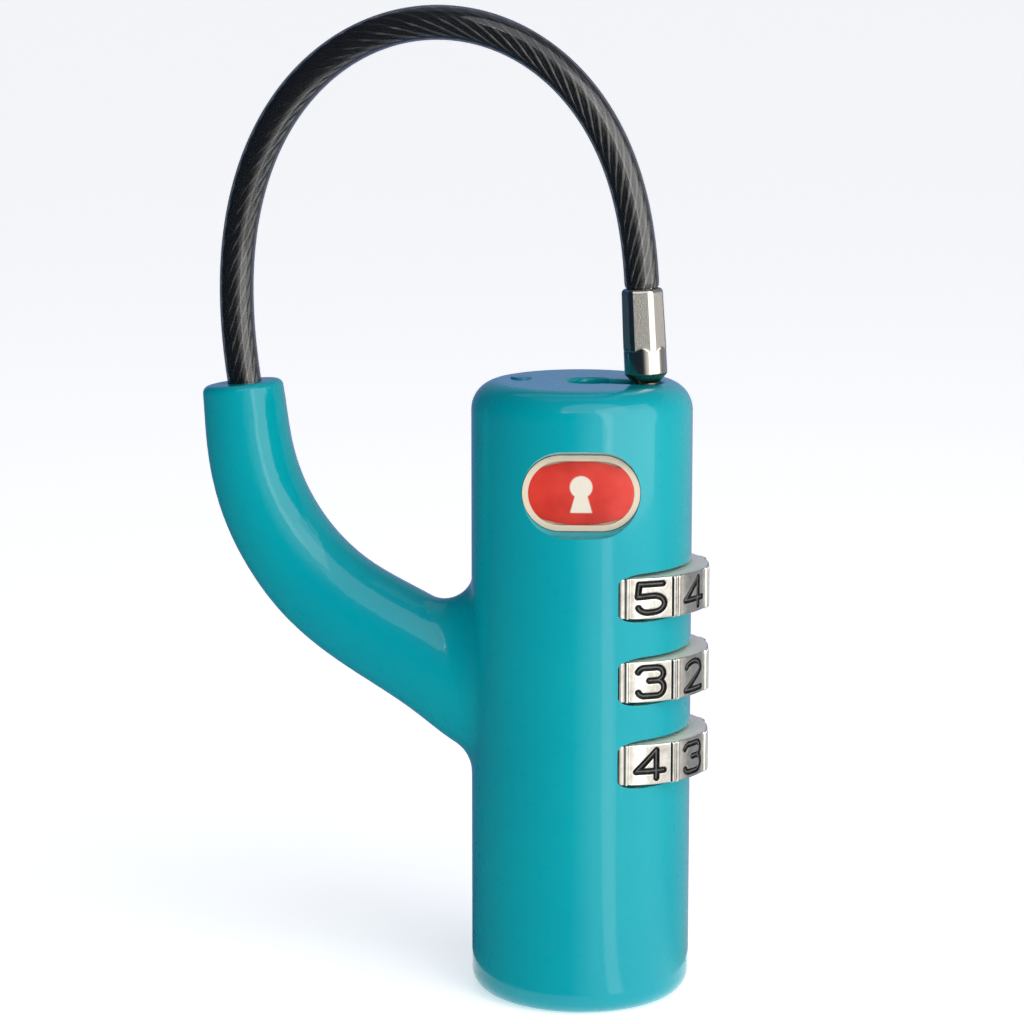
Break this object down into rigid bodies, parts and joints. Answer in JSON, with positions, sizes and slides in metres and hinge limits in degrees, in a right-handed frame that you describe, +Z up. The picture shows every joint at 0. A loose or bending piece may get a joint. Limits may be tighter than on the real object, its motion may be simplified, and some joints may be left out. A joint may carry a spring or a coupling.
{
  "type": "cable luggage padlock",
  "caption": "Luggage padlock with a cylindrical painted body, curved arm, flexible cable shackle, number dials on the side and a hidden key release.",
  "frame": {"origin": "centre of the flat base of the cylindrical body", "axes": "+Z up along the body towards the cable shackle, -X towards the arm, +X towards the dials, -Y towards the badge"},
  "size_m": [0.046, 0.0192, 0.0863],
  "materials": {
    "teal_enamel": "glossy enamel",
    "pin_enamel": "glossy enamel",
    "badge_metal": "satin cream",
    "badge_enamel": "glossy enamel",
    "zinc_plate": "satin cast zinc",
    "hard_steel": "ground",
    "spring_steel": "bright drawn",
    "brass": "turned",
    "nickel": "polished nickel",
    "chrome": "polished chrome",
    "cable_jacket": "smoked clear vinyl over steel rope"
  },
  "bodies": {
    "housing": {"housing": "teal_enamel", "base_cap": "teal_enamel", "cap_pin": "teal_enamel", "badge_plate": "badge_metal", "badge_enamel": "badge_enamel", "cable_anchor": "zinc_plate", "cable_root": "cable_jacket", "guide_block": "zinc_plate", "stack_seat": "brass", "stack_spring": "spring_steel", "spindle_spring": "spring_steel", "reset_spring": "spring_steel", "detent_spring": "spring_steel"},
    "key_plug": {"key_plug": "brass", "tumbler_wafers": "brass", "plug_clip": "spring_steel", "release_cam": "hard_steel"},
    "spindle": {"spindle": "brass"},
    "keeper": {"keeper": "hard_steel"},
    "reset": {"reset_pin": "pin_enamel", "reset_yoke": "hard_steel"},
    "dial_1": {"dial_1": "chrome", "code_sleeve_1": "brass"},
    "dial_2": {"dial_2": "chrome", "code_sleeve_2": "brass"},
    "dial_3": {"dial_3": "chrome", "code_sleeve_3": "brass"},
    "cable_1": {"cable_link_1": "cable_jacket"},
    "cable_2": {"cable_link_2": "cable_jacket"},
    "cable_3": {"cable_link_3": "cable_jacket"},
    "cable_4": {"cable_link_4": "cable_jacket"},
    "cable_5": {"cable_link_5": "cable_jacket"},
    "cable_6": {"cable_link_6": "cable_jacket"},
    "cable_7": {"cable_link_7": "cable_jacket"},
    "ferrule": {"cable_link_8": "cable_jacket", "ferrule": "nickel", "lock_tip": "hard_steel"}
  },
  "joints": [
    {"name": "dial_1_turn", "type": "hinge", "parent": "housing", "child": "dial_1", "pos_m": [0.0035, 0, 0.0367], "axis": [0, 0, 1], "continuous": true},
    {"name": "dial_2_turn", "type": "hinge", "parent": "housing", "child": "dial_2", "pos_m": [0.0035, 0, 0.02943], "axis": [0, 0, 1], "continuous": true},
    {"name": "dial_3_turn", "type": "hinge", "parent": "housing", "child": "dial_3", "pos_m": [0.0035, 0, 0.02216], "axis": [0, 0, 1], "continuous": true},
    {"name": "spindle_rise", "type": "slide", "parent": "housing", "child": "spindle", "axis": [0, 0, 1], "range_m": [0, 0.0022], "deforming": ["spindle_spring"]},
    {"name": "keeper_slide", "type": "slide", "parent": "housing", "child": "keeper", "axis": [1, 0, 0], "range_m": [0, 0.0017]},
    {"name": "reset_press", "type": "slide", "parent": "housing", "child": "reset", "axis": [0, 0, -1], "range_m": [0, 0.0012], "stiffness_N_per_m": 400, "springref_m": -0.0015, "deforming": ["reset_spring"]},
    {"name": "key_turn", "type": "hinge", "parent": "housing", "child": "key_plug", "pos_m": [0.0035, 0, 0.004], "axis": [0, 0, 1], "range_deg": [0, 90]},
    {"name": "cable_bend_1", "type": "hinge", "parent": "housing", "child": "cable_1", "pos_m": [-0.03108, 0, 0.05455], "axis": [0, 1, 0], "range_deg": [-4.3, 0]},
    {"name": "cable_bend_2", "type": "hinge", "parent": "cable_1", "child": "cable_2", "pos_m": [-0.03141, 0, 0.06356], "axis": [0, 1, 0], "range_deg": [-6.2, 0]},
    {"name": "cable_bend_3", "type": "hinge", "parent": "cable_2", "child": "cable_3", "pos_m": [-0.02951, 0, 0.07236], "axis": [0, 1, 0], "range_deg": [-6.9, 0]},
    {"name": "cable_bend_4", "type": "hinge", "parent": "cable_3", "child": "cable_4", "pos_m": [-0.02463, 0, 0.07988], "axis": [0, 1, 0], "range_deg": [-5.8, 0]},
    {"name": "cable_bend_5", "type": "hinge", "parent": "cable_4", "child": "cable_5", "pos_m": [-0.01688, 0, 0.08432], "axis": [0, 1, 0], "range_deg": [-2.7, 0]},
    {"name": "cable_bend_6", "type": "hinge", "parent": "cable_5", "child": "cable_6", "pos_m": [-0.00797, 0, 0.0841], "axis": [0, 1, 0], "range_deg": [0, 2.9]},
    {"name": "cable_bend_7", "type": "hinge", "parent": "cable_6", "child": "cable_7", "pos_m": [-0.00051, 0, 0.07921], "axis": [0, 1, 0], "range_deg": [0, 7.7]},
    {"name": "shackle_lift", "type": "hinge", "parent": "cable_7", "child": "ferrule", "pos_m": [0.00381, 0, 0.07135], "axis": [0, 1, 0], "range_deg": [0, 11], "stiffness_Nm_per_rad": 0.02}
  ],
  "couplings": [
    {"joint": "keeper_slide", "follows": "spindle_rise", "ratio": 0.77273},
    {"joint": "cable_bend_1", "follows": "shackle_lift", "ratio": -0.343},
    {"joint": "cable_bend_2", "follows": "shackle_lift", "ratio": -0.5175},
    {"joint": "cable_bend_3", "follows": "shackle_lift", "ratio": -0.5834},
    {"joint": "cable_bend_4", "follows": "shackle_lift", "ratio": -0.4863},
    {"joint": "cable_bend_5", "follows": "shackle_lift", "ratio": -0.2007},
    {"joint": "cable_bend_6", "follows": "shackle_lift", "ratio": 0.2218},
    {"joint": "cable_bend_7", "follows": "shackle_lift", "ratio": 0.6586}
  ]
}
